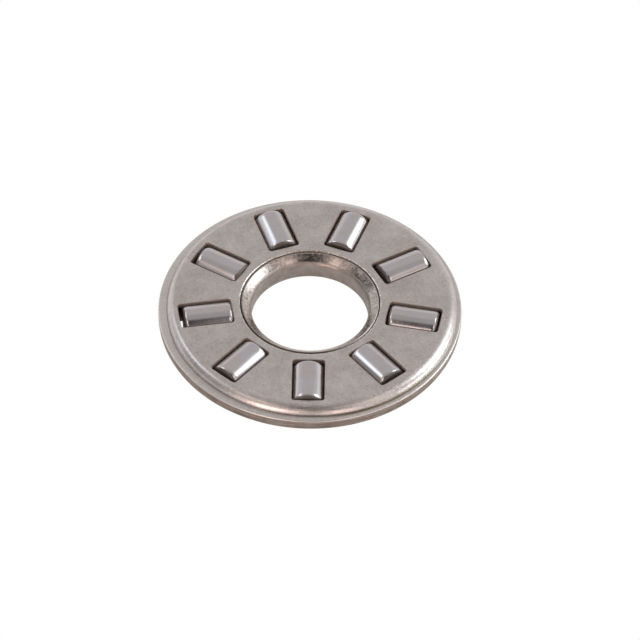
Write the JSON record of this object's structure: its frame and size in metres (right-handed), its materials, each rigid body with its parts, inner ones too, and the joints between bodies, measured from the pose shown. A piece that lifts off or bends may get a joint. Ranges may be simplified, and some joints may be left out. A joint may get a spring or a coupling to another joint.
{
  "type": "thrust roller bearing",
  "caption": "Flat ring-shaped thrust bearing without washers: a two-piece pressed steel cage that holds cylindrical rollers in radial windows.",
  "frame": {"origin": "centre of the bearing: on the bore axis, on the middle plane through all the roller axes", "axes": "+Z along the bearing axis, out of the face with the flared lip; roller_1 lies along -Y"},
  "size_m": [0.017, 0.017, 0.002],
  "materials": {
    "cage_steel": "satin",
    "roller_steel": "ground and polished"
  },
  "bodies": {
    "cage": {"lower_cage_half": "cage_steel", "upper_cage_half": "cage_steel"},
    "roller_1": {"roller_1": "roller_steel"},
    "roller_2": {"roller_2": "roller_steel"},
    "roller_3": {"roller_3": "roller_steel"},
    "roller_4": {"roller_4": "roller_steel"},
    "roller_5": {"roller_5": "roller_steel"},
    "roller_6": {"roller_6": "roller_steel"},
    "roller_7": {"roller_7": "roller_steel"},
    "roller_8": {"roller_8": "roller_steel"},
    "roller_9": {"roller_9": "roller_steel"}
  },
  "joints": [
    {"name": "roller_1_spin", "type": "hinge", "parent": "cage", "child": "roller_1", "pos_m": [0, -0.00598, 0], "axis": [0, -1, 0], "continuous": true},
    {"name": "roller_2_spin", "type": "hinge", "parent": "cage", "child": "roller_2", "pos_m": [0.00376, -0.00449, 0], "axis": [0.6428, -0.766, 0], "continuous": true},
    {"name": "roller_3_spin", "type": "hinge", "parent": "cage", "child": "roller_3", "pos_m": [0.00583, -0.00103, 0], "axis": [0.9848, -0.1736, 0], "continuous": true},
    {"name": "roller_4_spin", "type": "hinge", "parent": "cage", "child": "roller_4", "pos_m": [0.00521, 0.00301, 0], "axis": [0.866, 0.5, 0], "continuous": true},
    {"name": "roller_5_spin", "type": "hinge", "parent": "cage", "child": "roller_5", "pos_m": [0.00203, 0.00559, 0], "axis": [0.342, 0.9397, 0], "continuous": true},
    {"name": "roller_6_spin", "type": "hinge", "parent": "cage", "child": "roller_6", "pos_m": [-0.00203, 0.00559, 0], "axis": [-0.342, 0.9397, 0], "continuous": true},
    {"name": "roller_7_spin", "type": "hinge", "parent": "cage", "child": "roller_7", "pos_m": [-0.00502, 0.0029, 0], "axis": [-0.866, 0.5, 0], "continuous": true},
    {"name": "roller_8_spin", "type": "hinge", "parent": "cage", "child": "roller_8", "pos_m": [-0.00571, -0.00101, 0], "axis": [-0.9848, -0.1736, 0], "continuous": true},
    {"name": "roller_9_spin", "type": "hinge", "parent": "cage", "child": "roller_9", "pos_m": [-0.00378, -0.00451, 0], "axis": [-0.6428, -0.766, 0], "continuous": true}
  ]
}
